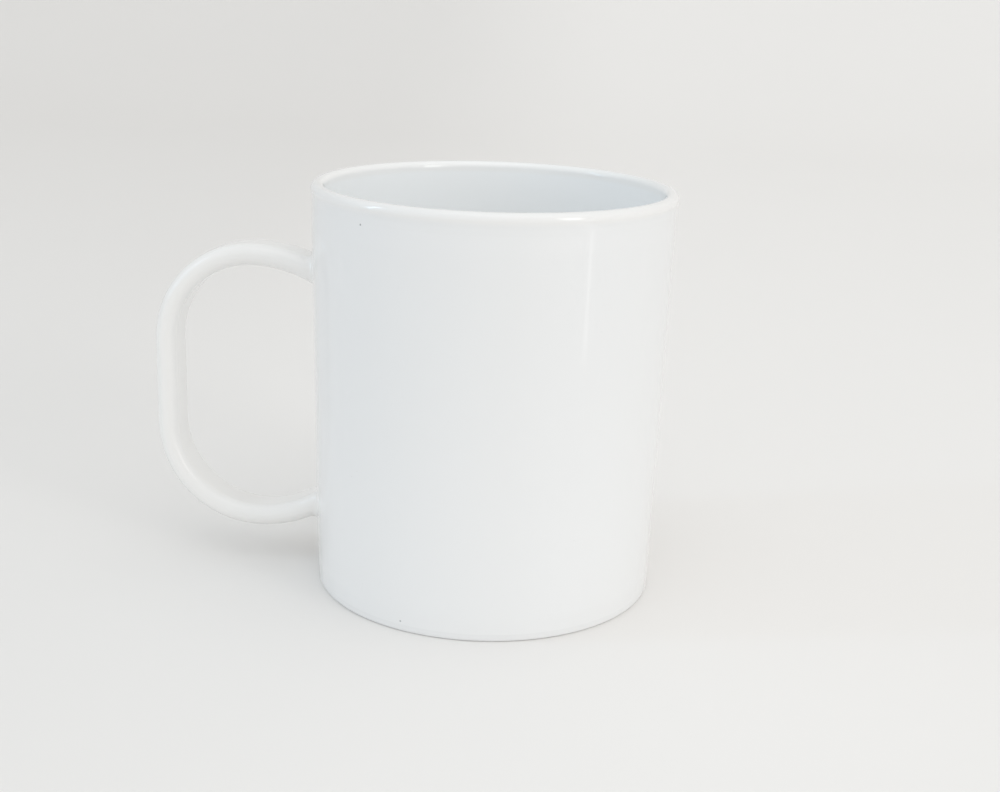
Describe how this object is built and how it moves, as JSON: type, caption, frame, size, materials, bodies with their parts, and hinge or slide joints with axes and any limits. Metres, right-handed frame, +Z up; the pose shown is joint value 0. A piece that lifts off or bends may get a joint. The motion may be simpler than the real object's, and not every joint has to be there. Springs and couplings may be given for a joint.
{
  "type": "mug",
  "caption": "Cylindrical mug with a slight taper, a full-round lip, a recessed foot and a loop handle, coated outside to take a heat-transfer print.",
  "frame": {"origin": "on the cup's axis, in the plane that the foot ring stands on", "axes": "+Z up along the cup's axis to the mouth, handle along -X, the plane y = 0 cuts the handle down its middle"},
  "size_m": [0.1225, 0.0834, 0.095],
  "materials": {
    "cup": "gloss white moulded plastic",
    "handle": "gloss white moulded plastic",
    "print_coat": "hard clear gloss coat over white"
  },
  "bodies": {
    "root": {"cup": "cup", "handle": "handle", "print_coat": "print_coat"}
  },
  "joints": []
}
